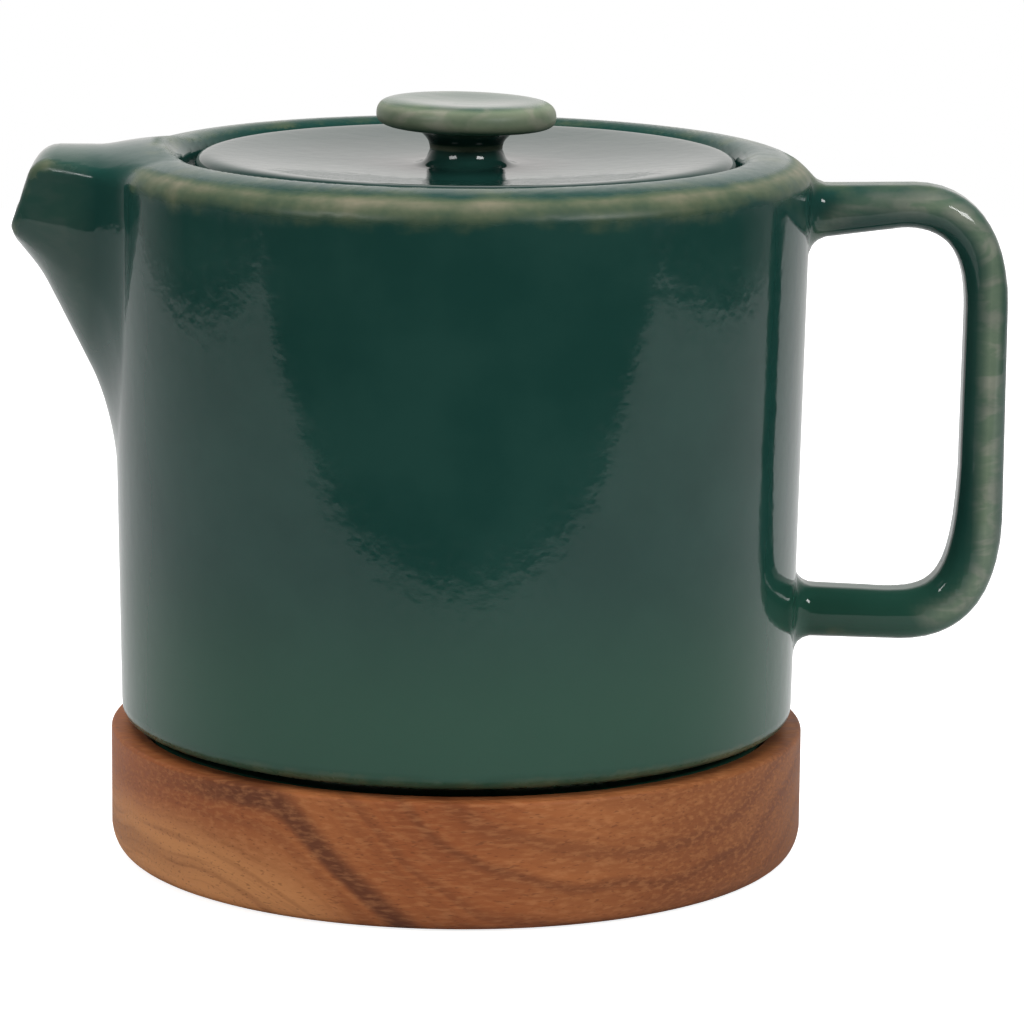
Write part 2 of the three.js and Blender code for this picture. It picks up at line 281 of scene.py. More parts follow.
def spout_channel(x, y, z):
    """The way out through the wall and the beak, under a roof that rises to the mouth."""
    side = beak_side(x, y, z, SPOUT_WALL)
    rise = np.clip((-CHANNEL_RISE_START - x) / CHANNEL_RISE_LENGTH, 0, 1)
    roof = z - (PORT_TOP_Z + CHANNEL_RISE * rise)
    return common_round(common_round(side, roof, TURN_ROUND), x - PORT_X, 1.0)


HANDLE_ROOT_X = 58  # the arms start inside the pot's wall
HANDLE_ROUND = 4.1


def handle_outline():
    """The handle's side view, from root to root, as X and Z."""
    return outline(
        (HANDLE_ROOT_X, 127.5),
        bezier((85, 127.9), (95.8, 127.9), (102.7, 119.8), (102.8, 105)),
        bezier((102.9, 64), (102.3, 47), (94.2, 41.2), (84, 41.2)),
        (HANDLE_ROOT_X, 41.8),
        (HANDLE_ROOT_X, 51.6),
        bezier((81, 50.6), (90, 50.6), (93.6, 51.8), (94.5, 74)),
        bezier((94.8, 104), (94.8, 114.8), (91.4, 119.8), (83, 119.8)),
        (HANDLE_ROOT_X, 116.6),
    )


HANDLE_POLYGON = handle_outline()
OUTSIDE_POLYGON = pot_outside()
INSIDE_POLYGON = pot_inside()
HANDLE_HALF_WIDTH = (HANDLE_HIGH[1] - HANDLE_LOW[1]) / 2


def handle_solid(x, y, z):
    """The handle's side view made as deep as the handle is, with all its edges rounded."""
    flat = polygon_distance(x, z, HANDLE_POLYGON) + HANDLE_ROUND
    across = np.abs(y) - HANDLE_HALF_WIDTH + HANDLE_ROUND
    outside = np.hypot(np.maximum(flat, 0), np.maximum(across, 0))
    return outside + np.minimum(np.maximum(flat, across), 0) - HANDLE_ROUND


def pot_field(points):
    """Signed distance to the fired clay of the pot, in millimetres."""
    x, y, z = points.T.astype(np.float32)
    radius = np.hypot(x, y)
    shape = polygon_distance(radius, z, OUTSIDE_POLYGON)
    shape = join_round(shape, spout_solid(x, y, z), SPOUT_FILLET)
    shape = join_round(shape, handle_solid(x, y, z), HANDLE_FILLET)
    shape = common_round(shape, -polygon_distance(radius, z, INSIDE_POLYGON), EDGE_ROUND)
    return common_round(shape, -spout_channel(x, y, z), EDGE_ROUND)


# ---- surfaces from fields ----------------------------------------------------------------


def gradient(field, points, reach=0.05):
    """Direction in which a field grows at each point, by small steps each way."""
    steps = np.eye(3) * reach
    slope = [(field(points + s) - field(points - s)) / (2 * reach) for s in steps]
    return np.stack(slope, 1)


def level_surface(field, low, high, step):
    """Points and four-sided faces of a field's zero level, one point in each grid cell it crosses."""
    counts = np.ceil((high - low) / step).astype(int) + 1
    axes = [low[i] + step * np.arange(counts[i]) for i in range(3)]
    values = np.empty(counts, np.float32)
    for i, x in enumerate(axes[0]):
        y, z = np.meshgrid(axes[1], axes[2], indexing="ij")
        sheet = np.stack([np.full(y.size, x), y.ravel(), z.ravel()], 1)
        values[i] = field(sheet).reshape(y.shape)
    inside = values < 0
    cells = tuple(counts - 1)
    total = np.zeros(cells + (3,))
    crossings = np.zeros(cells)
    corners = [(i, j, k) for i in (0, 1) for j in (0, 1) for k in (0, 1)]

    def corner_slice(array, corner):
        return array[tuple(slice(c, c + n) for c, n in zip(corner, cells))]

    for a in corners:
        for axis in range(3):
            if a[axis]:
                continue
            b = tuple(c + (i == axis) for i, c in enumerate(a))
            va, vb = corner_slice(values, a), corner_slice(values, b)
            crossed = (va < 0) != (vb < 0)
            t = np.where(crossed, va / np.where(crossed, va - vb, 1), 0)
            for i in range(3):
                total[..., i] += crossed * (a[i] + (t if i == axis else 0))
            crossings += crossed
    used = crossings > 0
    index = np.full(cells, -1)
    index[used] = np.arange(used.sum())
    place = np.argwhere(used) + total[used] / crossings[used][:, None]
    points = low + place * step
    faces = []
    for axis in range(3):
        u, v = (axis + 1) % 3, (axis + 2) % 3
        here = [slice(1, -1)] * 3
        there = [slice(1, -1)] * 3
        here[axis], there[axis] = slice(0, -1), slice(1, None)
        first, second = inside[tuple(here)], inside[tuple(there)]
        edges = np.argwhere(first != second)
        grow = first[first != second]
        edges += 1
        edges[:, axis] -= 1
        ring = []
        for du, dv in ((0, 0), (1, 0), (1, 1), (0, 1)):
            cell = edges.copy()
            cell[:, u] -= du
            cell[:, v] -= dv
            ring.append(index[tuple(cell.T)])
        quad = np.stack(ring, 1)
        quad[~grow] = quad[~grow][:, ::-1]
        faces.append(quad)
    return points, np.vstack(faces)


def settle(field, points, rounds=6, longest=0.6, flattest=0.3):
    """Moves points along the field's slope until they lie on its zero level; also their normals."""
    for _ in range(rounds):
        slope = gradient(field, points)
        length = np.maximum(np.linalg.norm(slope, axis=1), flattest)
        move = np.clip(field(points) / length, -longest, longest)
        points = points - slope * (move / length)[:, None]
    slope = gradient(field, points)
    return points, slope / np.linalg.norm(slope, axis=1)[:, None]


# ---- meshes ------------------------------------------------------------------------------


def make_piece(name, points_mm, faces, body, nodes, material, normals=None):
    """A smooth mesh that moves with a body and stands for some CAD nodes."""
    mesh = bpy.data.meshes.new(name)
    mesh.from_pydata((np.asarray(points_mm) * MM).tolist(), [], [list(map(int, f)) for f in faces])
    mesh.validate()
    mesh.shade_smooth()
    if normals is not None:
        mesh.normals_split_custom_set_from_vertices(normals.tolist())
    mesh.materials.append(material)
    piece = bpy.data.objects.new(name, mesh)
    bpy.context.scene.collection.objects.link(piece)
    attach(piece, body)
    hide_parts(*nodes)
    return piece


def add_attribute(piece, name, values):
    layer = piece.data.attributes.new(name, "FLOAT", "POINT")
    layer.data.foreach_set("value", np.asarray(values, np.float32))


def turned(profile, turns, centre_x=0.0):
    """Points and faces of a profile of (radius, height) turned round Z; ends on the axis are closed."""
    angles = np.arange(turns) * 2 * math.pi / turns
    points, rings = [], []
    for radius, z in profile:
        if radius < 1e-6:
            rings.append([len(points)] * turns)
            points.append((centre_x, 0.0, z))
            continue
        rings.append(list(range(len(points), len(points) + turns)))
        points += [(centre_x + radius * math.cos(a), radius * math.sin(a), z) for a in angles]
    faces = []
    for lower, upper in zip(rings, rings[1:]):
        for i in range(turns):
            j = (i + 1) % turns
            corners = [lower[i], lower[j], upper[j], upper[i]]
            faces.append(list(dict.fromkeys(corners)))
    return np.array(points), faces


def closed_ring(profile, turns):
    """A closed profile that stays clear of the axis, turned round Z."""
    return turned(np.vstack([profile, profile[:1]]), turns)


# ---- materials ---------------------------------------------------------------------------


class Nodes:
    """A material's node tree, with short ways to add and link nodes."""

    def __init__(self, name):
        self.material = bpy.data.materials.new(name)
        self.material.use_nodes = True
        self.tree = self.material.node_tree
        self.shader = self.tree.nodes["Principled BSDF"]

    def add(self, kind, inputs=None, **settings):
        node = self.tree.nodes.new("ShaderNode" + kind)
        for key, value in settings.items():
            setattr(node, key, value)
        for key, value in (inputs or {}).items():
            self.put(node.inputs[key], value)
        return node

    def put(self, socket, value):
        if isinstance(value, bpy.types.NodeSocket):
            self.tree.links.new(value, socket)
        else:
            socket.default_value = value

    def shade(self, **inputs):
        for key, value in inputs.items():
            self.put(self.shader.inputs[key.replace("_", " ")], value)

    def math(self, operation, a, b=0.0):
        return self.add("Math", {0: a, 1: b}, operation=operation).outputs[0]

    def ramp(self, value, low, high, out_low=0.0, out_high=1.0):
        settings = {"Value": value, "From Min": low, "From Max": high}
        settings.update({"To Min": out_low, "To Max": out_high})
        return self.add("MapRange", settings, interpolation_type="SMOOTHSTEP").outputs["Result"]

    def noise(self, place, scale, detail=2.0, roughness=0.5, distortion=0.0):
        settings = {"Vector": place, "Scale": scale, "Detail": detail, "Roughness": roughness}
        node = self.add("TexNoise", {**settings, "Distortion": distortion})
        return node.outputs["Fac"]

    def mix(self, factor, a, b):
        node = self.add("Mix", data_type="RGBA")
        self.put(node.inputs[0], factor)
        self.put(node.inputs[6], a)
        self.put(node.inputs[7], b)
        return node.outputs[2]

    def place(self, scale=(1, 1, 1), turn=(0, 0, 0)):
        coordinates = self.add("TexCoord").outputs["Object"]
        settings = {"Vector": coordinates, "Scale": scale, "Rotation": turn}
        return self.add("Mapping", settings).outputs["Vector"]

    def bump(self, height, strength, distance):
        settings = {"Height": height, "Strength": strength, "Distance": distance}
        return self.add("Bump", settings).outputs["Normal"]


GLAZE_DEEP, GLAZE_DEEP_CLOUD = (0.0110, 0.053, 0.043, 1), (0.0165, 0.064, 0.052, 1)
# painted light: a lighter, greener glaze for the lower body, in place of light bounced up from the table
GLAZE_PAINTED_BOUNCE_LIGHT = (0.022, 0.085, 0.052, 1)
GLAZE_OLIVE = (0.085, 0.117, 0.066, 1)
GLAZE_TAN = (0.25, 0.222, 0.150, 1)
# pale colours that paint a lamp's reflection down the handle, light the shaded stem ring, and make the
# knob's cap and the beak paler
GLAZE_PALE_SHEEN_GREEN, GLAZE_PALE_SHEEN_GREY = (0.21, 0.275, 0.185, 1), (0.34, 0.355, 0.28, 1)
GLAZE_POOL = (0.003, 0.022, 0.019, 1)
GLAZE_SPECK = (0.004, 0.016, 0.013, 1)


def green_glaze():
    """Deep green glaze that pools dark in hollows and breaks to olive and tan where it runs thin, with
    painted bounce light towards the bottom and painted sheen and paler patches where an attribute asks.
    """
    n = Nodes("green_glaze")
    place = n.place()
    broken = n.add("Attribute", attribute_name="glaze_break").outputs["Fac"]
    pooled = n.add("Attribute", attribute_name="glaze_pool").outputs["Fac"]
    pale_and_sheen_amount = n.add("Attribute", attribute_name="pale_glaze_and_sheen").outputs["Fac"]
    cloud = n.noise(place, 45.0, detail=4.0)
    blotch = n.noise(n.place(scale=(1, 1, 1.6)), 70.0, detail=4.0, roughness=0.6)
    streak = n.noise(n.place(scale=(1, 1, 0.25)), 190.0, detail=3.0)
    deep = n.mix(n.ramp(cloud, 0.35, 0.68), GLAZE_DEEP, GLAZE_DEEP_CLOUD)
    height = n.add("SeparateXYZ", {0: place}).outputs["Z"]
    # Painted light: the glaze turns lighter and greener towards the bottom, in place of light bounced up
    # from the table.
    deep = n.mix(n.ramp(height, 0.070, 0.035, 0.0, 0.8), deep, GLAZE_PAINTED_BOUNCE_LIGHT)
    uneven = n.math("ADD", n.math("MULTIPLY", blotch, 0.7), n.math("MULTIPLY", streak, 0.3))
    thin = n.math("ADD", broken, n.math("MULTIPLY", n.math("SUBTRACT", uneven, 0.5), 1.3))
    thin = n.math("MULTIPLY", thin, n.ramp(broken, 0.0, 0.12))
    olive = n.mix(n.ramp(thin, 0.05, 0.5), deep, GLAZE_OLIVE)
    tan = n.mix(n.ramp(thin, 0.36, 0.9), olive, GLAZE_TAN)
    marbled = n.noise(n.place(scale=(1, 1, 2.2)), 130.0, detail=3.0, distortion=0.6)
    pale_sheen_colour = n.mix(n.ramp(marbled, 0.42, 0.62), GLAZE_PALE_SHEEN_GREEN, GLAZE_PALE_SHEEN_GREY)
    # Painted sheen and paler patches: the pale colours are mixed in where the attribute read above asks.
    with_pale_and_sheen = n.mix(n.math("MULTIPLY", pale_and_sheen_amount, n.ramp(uneven, 0.3, 0.7, 0.55, 1.0)), tan, pale_sheen_colour)
    dark = n.mix(n.ramp(pooled, 0.0, 1.0), with_pale_and_sheen, GLAZE_POOL)
    specks = n.add("TexVoronoi", {"Vector": place, "Scale": 900.0}).outputs["Distance"]
    speck = n.ramp(specks, 0.10, 0.04, 0.0, 0.22)
    speckled = n.mix(speck, dark, GLAZE_SPECK)
    peel = n.noise(place, 300.0, detail=2.0)
    sag = n.noise(place, 38.0, detail=1.0)
    wavy = n.math("ADD", n.math("MULTIPLY", peel, 0.32), sag)
    rough = n.ramp(n.noise(place, 500.0, detail=3.0), 0.3, 0.8, 0.05, 0.12)
    rough = n.math("ADD", rough, n.ramp(broken, 0.0, 0.4, 0.0, 0.34))
    n.shade(Base_Color=speckled, Roughness=rough, IOR=1.38, Normal=n.bump(wavy, 0.2, 0.0005))
    return n.material


WOOD_RED, WOOD_BROWN = (0.33, 0.098, 0.031, 1), (0.43, 0.148, 0.048, 1)
WOOD_HONEY = (0.64, 0.285, 0.105, 1)
# painted shade for the side of the base turned away from the light
WOOD_PAINTED_SHADE = (0.185, 0.062, 0.021, 1)
WOOD_YEAR = (0.24, 0.075, 0.026, 1)
WOOD_SEASON = (0.16, 0.048, 0.019, 1)
WOOD_BAND = (0.15, 0.045, 0.018, 1)
WOOD_STREAK = (0.11, 0.034, 0.016, 1)
WOOD_FIBRE = (0.62, 0.27, 0.11, 1)
WOOD_PORE = (0.10, 0.032, 0.014, 1)

# Growth rings are circles in the block's X and Z, in metres: one set sags, the other arches.
SAG_CENTRE = (0.0175, 0.0617)
ARCH_CENTRE, ARCH_R = (-0.0719, -0.0417), 0.1422
SOFT_BANDS = ((0.0545, 0.0022, 0.5), (0.0605, 0.0018, 0.55), (0.068, 0.0014, 0.4))  # ring, width, strength


def acacia():
    """Oiled acacia: bands that sag on one side of a dark streak and arch on the other, and pores, with
    painted shade darkening it towards +X.
    """
    n = Nodes("acacia_wood")
    block = n.place(turn=(math.radians(6), 0, math.radians(-14)))
    sway = n.noise(block, 18.0, detail=2.0)
    ripple = n.noise(block, 75.0, detail=3.0)
    parts = n.add("SeparateXYZ", {0: block}).outputs

    def distance_from(centre):
        dx, dz = n.math("SUBTRACT", parts["X"], centre[0]), n.math("SUBTRACT", parts["Z"], centre[1])
        return n.math("SQRT", n.math("ADD", n.math("MULTIPLY", dx, dx), n.math("MULTIPLY", dz, dz)))

    sagging = distance_from(SAG_CENTRE)
    arching = n.math("SUBTRACT", ARCH_R, distance_from(ARCH_CENTRE))
    side = n.ramp(parts["X"], -0.057, -0.024)
    blend = n.math("MULTIPLY", n.math("SUBTRACT", sagging, arching), side)
    ring = n.math("ADD", arching, blend)
    ring = n.math("ADD", ring, n.math("MULTIPLY", n.math("SUBTRACT", sway, 0.5), 0.014))
    ring = n.math("ADD", ring, n.math("MULTIPLY", n.math("SUBTRACT", ripple, 0.5), 0.0025))
    along = n.add("CombineXYZ", {"X": ring, "Y": n.math("MULTIPLY", parts["Y"], 0.05)}).outputs[0]
    season = n.noise(along, 90.0, detail=1.5, roughness=0.45)
    year = n.noise(along, 520.0, detail=2.0, roughness=0.6)
    tone = n.noise(block, 14.0, detail=2.0)
    fibre = n.noise(n.place(scale=(300, 900, 1500), turn=(0, math.radians(8), 0)), 1.0, detail=4.0)
    pores = n.noise(n.place(scale=(600, 1400, 2600), turn=(0, math.radians(-4), 0)), 1.0, detail=1.0)
    body = n.mix(n.ramp(tone, 0.35, 0.65), WOOD_RED, WOOD_BROWN)
    body = n.mix(n.ramp(ring, 0.083, 0.094), body, WOOD_HONEY)
    # Painted shade: the wood darkens towards +X, the side away from the light.
    body = n.mix(n.ramp(parts["X"], -0.005, 0.045, 0.0, 0.62), body, WOOD_PAINTED_SHADE)
    fine = n.mix(n.ramp(year, 0.45, 0.66, 0.0, 0.4), body, WOOD_YEAR)
    banded = n.mix(n.ramp(season, 0.50, 0.66, 0.0, 0.4), fine, WOOD_SEASON)
    for radius, width, strength in SOFT_BANDS:
        away = n.math("ABSOLUTE", n.math("SUBTRACT", ring, radius))
        banded = n.mix(n.ramp(away, width, 0.0, 0.0, strength), banded, WOOD_BAND)
    streak = n.math("MULTIPLY", n.ramp(ring, 0.0755, 0.079), n.ramp(ring, 0.0825, 0.0805))
    streak = n.math("MULTIPLY", streak, n.ramp(parts["X"], -0.066, -0.050, 0.0, 0.85))
    streaked = n.mix(streak, banded, WOOD_STREAK)
    grained = n.mix(n.ramp(fibre, 0.42, 0.72, 0.0, 0.32), streaked, WOOD_FIBRE)
    pored = n.mix(n.ramp(pores, 0.60, 0.74, 0.0, 0.4), grained, WOOD_PORE)
    rough = n.ramp(fibre, 0.2, 0.8, 0.45, 0.62)
    relief = n.bump(n.math("SUBTRACT", fibre, pores), 0.2, 0.0002)
    n.shade(Base_Color=pored, Roughness=rough, Specular_IOR_Level=0.2, Normal=relief)
    return n.material


def brushed_steel():
    """Sheet steel with fine level brush marks."""
    n = Nodes("steel")
    streaks = n.noise(n.place(scale=(40, 40, 2500)), 1.0, detail=3.0)
    tone = n.mix(n.ramp(streaks, 0.3, 0.7), (0.55, 0.56, 0.57, 1), (0.70, 0.71, 0.72, 1))
    rough = n.ramp(streaks, 0.25, 0.75, 0.18, 0.36)
    n.shade(Base_Color=tone, Metallic=1.0, Roughness=rough, Normal=n.bump(streaks, 0.08, 0.0001))
    return n.material


GLAZE = green_glaze()
WOOD = acacia()
STEEL = brushed_steel()


# ---- glazed pot --------------------------------------------------------------------------


def bend_of(field, points, normals, reach):
    """How strongly a surface bends at each point: positive on edges, negative in hollows."""
    helper = np.where(np.abs(normals[:, 2:]) < 0.8, [[0.0, 0.0, 1.0]], [[1.0, 0.0, 0.0]])
    first = np.cross(normals, helper)
    first /= np.linalg.norm(first, axis=1)[:, None]
    second = np.cross(normals, first)
    rise = sum(field(points + sign * d * reach) for d in (first, second) for sign in (1, -1))
    return rise / (2 * reach * reach)


def glaze_attributes(piece, broken, pooled, pale_and_sheen):
    """Says at each point how thin and how pooled the glaze is, and how much pale colour and painted sheen
    it carries.
    """
    add_attribute(piece, "glaze_break", np.clip(broken, 0, 1))
    add_attribute(piece, "glaze_pool", np.clip(pooled, 0, 1))
    add_attribute(piece, "pale_glaze_and_sheen", np.clip(pale_and_sheen, 0, 1))


HANDLE_MIDDLE_Z = 84.5
WINDOW_X, WINDOW_Z = 82, 85.2  # middle of the handle's finger gap
WINDOW_CORE = (4, 26)  # half its size without the round corners
WINDOW_ROUND = 8.5
STRIPE_OUT, STRIPE_WIDTH = 5.2, 1.9  # the painted reflection stripe's distance from the gap, and how wide it fades


def on_spout(points):
    """1 on the beak, fading to 0 at the pot's wall."""
    return np.clip((-points[:, 0] - 67) / 4, 0, 1)


def thin_glaze(points, bend):
    """Where the glaze has run thin: on edges, on and under the rim's ridge, by the handle's roots."""
    x, y, z = points.T
    at_foot = np.clip((30 - z) / 3, 0, 1)
    edges = np.clip(bend * (1.2 + at_foot + 0.5 * on_spout(points)) - 0.15, 0, 1)
    off_spout = np.clip((x + 62) / 6, 0, 1)
    below_ridge = np.clip((z - 123) / 8.5, 0, 1) ** 2 * np.clip((RIM_Z - 0.5 - z) / 1.2, 0, 1)
    below_ridge *= np.clip((np.hypot(x, y) - RIDGE_R) / 2, 0, 1)
    outside_arms = np.clip(np.abs(z - HANDLE_MIDDLE_Z) - 38, 0, 4) / 4
    root = np.exp(-(((x - 72) / 4) ** 2)) * outside_arms
    on_ridge = np.clip(z - RIM_Z + 1.5, 0, 1) * off_spout
    return edges + np.maximum(below_ridge * off_spout * 0.57, 0.16 * np.maximum(root, on_ridge))


def handle_painted_reflection(points):
    """A painted reflection: a pale stripe down the handle's side, nearer its outer edge than its inner, in
    place of a tall lamp mirrored in the glaze.
    """
    x, _, z = points.T
    sideways = np.maximum(np.abs(x - WINDOW_X) - WINDOW_CORE[0], 0)
    upwards = np.maximum(np.abs(z - WINDOW_Z) - WINDOW_CORE[1], 0)
    from_window = np.hypot(sideways, upwards) - WINDOW_ROUND
    stripe = np.exp(-(((from_window - STRIPE_OUT) / STRIPE_WIDTH) ** 2))
    towards_grip = np.clip((x - 57) / 32, 0, 1)
    off_lower_arm = np.clip((z - 42) / 10 + (x - 88) / 6, 0, 1)
    return stripe * towards_grip * off_lower_arm


def make_pot():
    """The fired pot, sampled on a grid that is fine enough for its thinnest edges."""
    step = 1.3
    margin = 2.5 * step
    low = np.array([SPOUT_LOW[0], POT_LOW[1], POT_LOW[2]]) - margin
    high = np.array([HANDLE_HIGH[0], POT_HIGH[1], POT_HIGH[2]]) + margin
    points, faces = level_surface(pot_field, low, high, step)
    points, normals = settle(pot_field, points)
    bend = bend_of(pot_field, points, normals, 1.0)
    nodes = ("pot_body", "spout", "handle")
    piece = make_piece("glazed_pot", points, faces, "pot", nodes, GLAZE, normals)
    # Painted reflection: a pale stripe down the handle for a lamp mirrored in it, and a faintly paler
    # beak.
    pale_and_sheen = 0.9 * handle_painted_reflection(points) + 0.08 * on_spout(points)
    glaze_attributes(piece, thin_glaze(points, bend), -bend * 1.6, pale_and_sheen)


make_pot()


# ---- lid and knob ------------------------------------------------------------------------


KNOB_LEAN = 0.02  # the knob's cap is a little out of level: its fall per millimetre towards +X
LID_TURNS = 160


def lid_profile():
    """The lid and its knob as one fired piece, from the underside's middle to the knob's."""
    seat_z = COLLAR_HIGH[2] + GAP
    lid_r = (LID_HIGH[0] - LID_LOW[0]) / 2
    collar_r = SLEEVE_HIGH[0] - 2.8
    hollow_r = collar_r - 3
    hollow_z = seat_z - 2.3
    knob_r = (KNOB_HIGH[0] - KNOB_LOW[0]) / 2
    top = KNOB_HIGH[2] - KNOB_LEAN * knob_r
    edge_z = LID_LOW[2] + 9.4
    widest_z = 130.4
    centre_z = 130.7
    crest_z = RIM_Z - 0.6
    equator_z = 139.8
    dish_z = top - 0.4
    return outline(
        (0, hollow_z),
        bezier((hollow_r - 2, hollow_z), (hollow_r, hollow_z), (hollow_r, hollow_z - 2), steps=5),
        arc((collar_r - 1.5, LID_LOW[2] + 1.5), (1.5, 1.5), 180, 360, 10),
        bezier((collar_r, seat_z - 1), (collar_r, seat_z), (collar_r + 1, seat_z), steps=4),
        arc((lid_r - 1.5, edge_z), (1.5, edge_z - seat_z), -90, 0, 8),
        bezier((lid_r, widest_z), (lid_r, crest_z), (47.5, crest_z), steps=12),
        bezier((47.5, crest_z), (44, crest_z), (30, centre_z), (14, centre_z), steps=14),
        bezier((10.5, centre_z), (7.9, centre_z + 0.1), (7.3, 132.2), steps=8),
        bezier((6.8, 133.6), (6.7, 135.4), (8.8, 136.8), steps=8),
        bezier((9.8, 137.2), (11.4, 137.6), (13.4, 137.7), steps=6),
        bezier((14.0, 137.7), (knob_r, 138.0), (knob_r, equator_z), steps=10),
        bezier((knob_r, equator_z), (knob_r, 141.6), (16, top), (12.5, top), steps=16),
        bezier((12.5, top), (9, top), (6, dish_z), (0, dish_z), steps=12),
    )


def profile_bend(profile, reach=0.9):
    """Bending along a profile, positive on its outward edges, blurred over a short reach."""
    ahead = np.diff(profile, axis=0)
    length = np.linalg.norm(ahead, axis=1)
    heading = np.unwrap(np.arctan2(ahead[:, 1], ahead[:, 0]))
    where = np.append(0, np.cumsum(length))
    middle = (where[1:] + where[:-1]) / 2
    before = np.interp(where - reach, middle, heading)
    after = np.interp(where + reach, middle, heading)
    return (after - before) / (2 * reach)


def make_lid():
    """The lid and knob, its plate pooled dark and its cap paler, with a ring of thin glaze on the stem
    that is painted lighter where the cap shades it.
    """
    profile = lid_profile()
    points, faces = turned(profile, LID_TURNS, LID_X)
    above_lid = np.clip((points[:, 2] - 133) / 5, 0, 1)
    points[:, 2] -= KNOB_LEAN * (points[:, 0] - LID_X) * above_lid
    piece = make_piece("glazed_lid", points, faces, "lid", ("lid", "lid_knob"), GLAZE)
    bend = profile_bend(profile)
    copies = [1 if radius < 1e-6 else LID_TURNS for radius, _ in profile]
    edge = np.repeat(bend, copies)
    x, y, z = points.T
    stem_z = KNOB_LOW[2] + 5.0
    on_knob = np.clip((z - stem_z) / 2.0, 0, 1)
    on_top = np.clip((z - KNOB_HIGH[2] + 1.2) / 0.6, 0, 1)
    stem_ring = np.exp(-(((z - 134.3) / 0.45) ** 2))
    broken = on_knob * (edge * 1.2 + 0.08) * (1 - 0.6 * on_top) + 0.8 * stem_ring
    # The cap is made paler, less so on its top; the stem ring gets extra pale colour as painted light
    # where the cap shades it.
    pale_and_sheen = on_knob * (0.74 - 0.36 * on_top) + 0.6 * stem_ring
    on_plate = np.clip((np.abs(x - LID_X) + np.abs(y) - 11) / 3, 0, 1)
    pooled = 0.6 * on_plate * np.clip((stem_z - z) / 2.0, 0, 1)
    glaze_attributes(piece, broken, pooled, pale_and_sheen)


make_lid()


# ---- wooden base -------------------------------------------------------------------------


RECESS_R = 60
RECESS_DEPTH = 3.2
RECESS_EDGE = 0.5
RECESS_CORNER = 0.6
BASE_EDGE = 0.8
BASE_TURNS = 192


def make_base():
    """A turned disc with a rounded foot, and a recess that takes the pot's foot ring."""
    radius = BASE_HIGH[0]
    top = BASE_HIGH[2]
    recess_z = top - RECESS_DEPTH
    corner_r = RECESS_R - RECESS_CORNER
    profile = outline(
        (0, 0),
        bezier((radius - 4.6, 0), (radius - 0.6, 0.4), (radius, 5.2), steps=12),
        arc((radius - BASE_EDGE, top - BASE_EDGE), (BASE_EDGE, BASE_EDGE), 0, 90, 6),
        arc((RECESS_R + RECESS_EDGE, top - RECESS_EDGE), (RECESS_EDGE, RECESS_EDGE), 90, 180, 4),
        bezier((RECESS_R, recess_z + RECESS_CORNER), (RECESS_R, recess_z), (corner_r, recess_z), steps=4),
        (0, recess_z),
    )
    points, faces = turned(profile, BASE_TURNS)
    make_piece("turned_base", points, faces, "base", ("wood_base",), WOOD)


make_base()


# ---- infuser basket ----------------------------------------------------------------------

SHEET = 0.6
COLLAR_BEND = 2.2
COLLAR_TURNS = 128
SLEEVE_HOLES = (88, 23)  # round it and up it
FLOOR_HOLES = (60, 12)  # round it and out from its hub
HUB_R = 4.0


def make_collar():
    """A pressed ring with a rolled outer edge, and a band that holds the sleeve."""
    inner = SLEEVE_HIGH[0] + GAP
    outside = inner + SHEET
    low, high = COLLAR_LOW[2], COLLAR_HIGH[2]
    under = high - SHEET
    bend_r, bend_z = inner + COLLAR_BEND, high - COLLAR_BEND
    edge = SHEET / 2
    broken_edge = 0.2
    profile = outline(
        (outside, low + broken_edge),
        bezier((outside, bend_z), (outside, under), (bend_r, under), steps=6),
        arc((COLLAR_HIGH[0] - edge, high - edge), (edge, edge), -90, 90, 8),
        bezier((bend_r, high), (inner, high), (inner, bend_z), steps=6),
        (inner, low + broken_edge),
        (inner + broken_edge, low),
        (outside - broken_edge, low),
    )
    points, faces = closed_ring(profile, COLLAR_TURNS)
    make_piece("basket_collar", points, faces, "infuser", ("infuser_collar",), STEEL)


def perforated(columns, rows, place, hole=0.30):
    """Faces of a sheet of square cells, each with a round hole; place() puts sheet points in space."""
    sides = 8
    points, faces = [], []
    index = {}

    def point(u, v):
        key = (round(u, 4) % columns, round(v, 4))
        if key not in index:
            index[key] = len(points)
            points.append(place(u / columns, v / rows))
        return index[key]

    edge = [(0, 0), (0.5, 0), (1, 0), (1, 0.5), (1, 1), (0.5, 1), (0, 1), (0, 0.5)]
    angles = [math.radians(225 + 360 / sides * i) for i in range(sides)]
    rim = [(0.5 + hole * math.cos(a), 0.5 + hole * math.sin(a)) for a in angles]
    for row in range(rows):
        for column in range(columns):
            outer = [point(column + u, row + v) for u, v in edge]
            inner = [point(column + u, row + v) for u, v in rim]
            for i in range(sides):
                j = (i + 1) % sides
                faces.append([outer[i], outer[j], inner[j], inner[i]])
    return points, faces


def perforated_piece(name, points, faces, node):
    """A basket piece of perforated sheet, thickened evenly to both sides."""
    piece = make_piece(name, points, faces, "infuser", (node,), STEEL)
    solid = piece.modifiers.new("sheet", "SOLIDIFY")
    solid.thickness = SHEET * MM
    solid.offset = 0.0


def make_sleeve():
    """The basket's wall, rolled from perforated sheet."""
    radius = SLEEVE_HIGH[0] - SHEET / 2
    low, high = SLEEVE_LOW[2], SLEEVE_HIGH[2]

    def place(u, v):
        a = u * 2 * math.pi
        return (radius * math.cos(a), radius * math.sin(a), low + v * (high - low))

    points, faces = perforated(*SLEEVE_HOLES, place)
    perforated_piece("basket_sleeve", points, faces, "infuser_sleeve")


